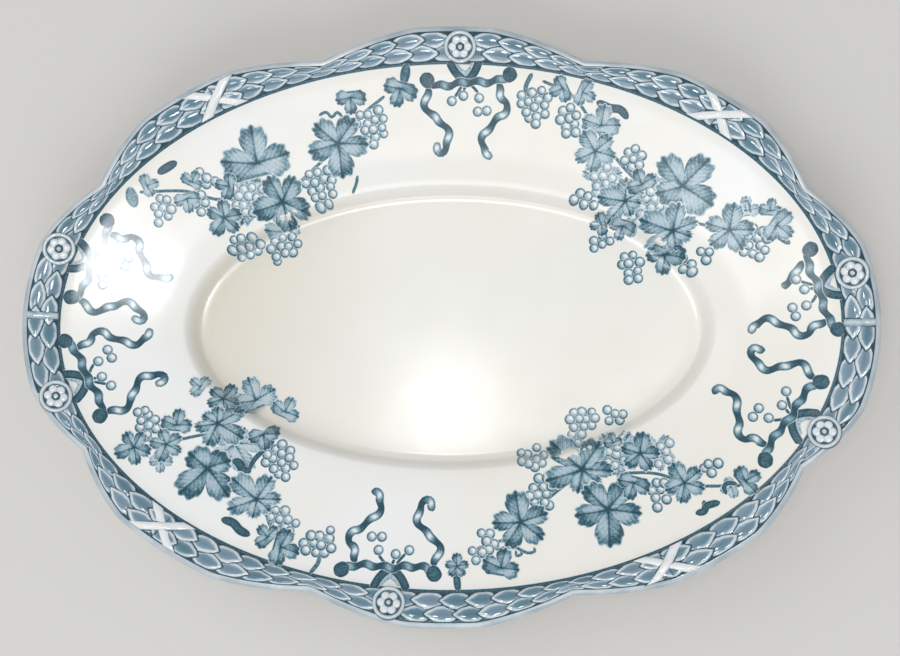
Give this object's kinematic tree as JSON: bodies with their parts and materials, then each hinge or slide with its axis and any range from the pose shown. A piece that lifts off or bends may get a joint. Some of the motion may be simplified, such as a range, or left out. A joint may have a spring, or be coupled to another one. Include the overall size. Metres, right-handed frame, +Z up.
{
  "type": "oval underplate",
  "caption": "Oval earthenware underplate with a plain well for a sauce boat's foot, a wide printed flange, a low laurel relief border and a scalloped edge, on an oval foot ring.",
  "frame": {"origin": "on the table plane under the middle of the well", "axes": "+X along the plate's length, +Y across it towards the rosette between two ribbon ties, +Z up"},
  "size_m": [0.2299, 0.1616, 0.0251],
  "materials": {
    "cream_glaze": "clear lead-style gloss glaze over a cream-white earthenware body with a slate-teal print",
    "printed_relief": "slate-teal print over low leaf relief, under the same clear gloss glaze",
    "pale_relief": "cream relief left mostly unprinted, under the same clear gloss glaze",
    "wiped_foot": "foot with its glaze worn off where it meets the table"
  },
  "bodies": {
    "root": {"plate_body": "cream_glaze", "foot_ring": "wiped_foot", "garland_before_rosette_right_upper": "printed_relief", "garland_after_rosette_right_upper": "printed_relief", "garland_before_rosette_top": "printed_relief", "garland_after_rosette_top": "printed_relief", "garland_before_rosette_left_upper": "printed_relief", "garland_after_rosette_left_upper": "printed_relief", "garland_before_rosette_left_lower": "printed_relief", "garland_after_rosette_left_lower": "printed_relief", "garland_before_rosette_bottom": "printed_relief", "garland_after_rosette_bottom": "printed_relief", "garland_before_rosette_right_lower": "printed_relief", "garland_after_rosette_right_lower": "printed_relief", "rosette_right_upper": "pale_relief", "rosette_top": "pale_relief", "rosette_left_upper": "pale_relief", "rosette_left_lower": "pale_relief", "rosette_bottom": "pale_relief", "rosette_right_lower": "pale_relief", "ribbon_tie_upper_right": "pale_relief", "ribbon_tie_upper_left": "pale_relief", "ribbon_tie_lower_left": "pale_relief", "ribbon_tie_lower_right": "pale_relief", "end_band_right": "pale_relief", "end_band_left": "pale_relief"}
  },
  "joints": []
}
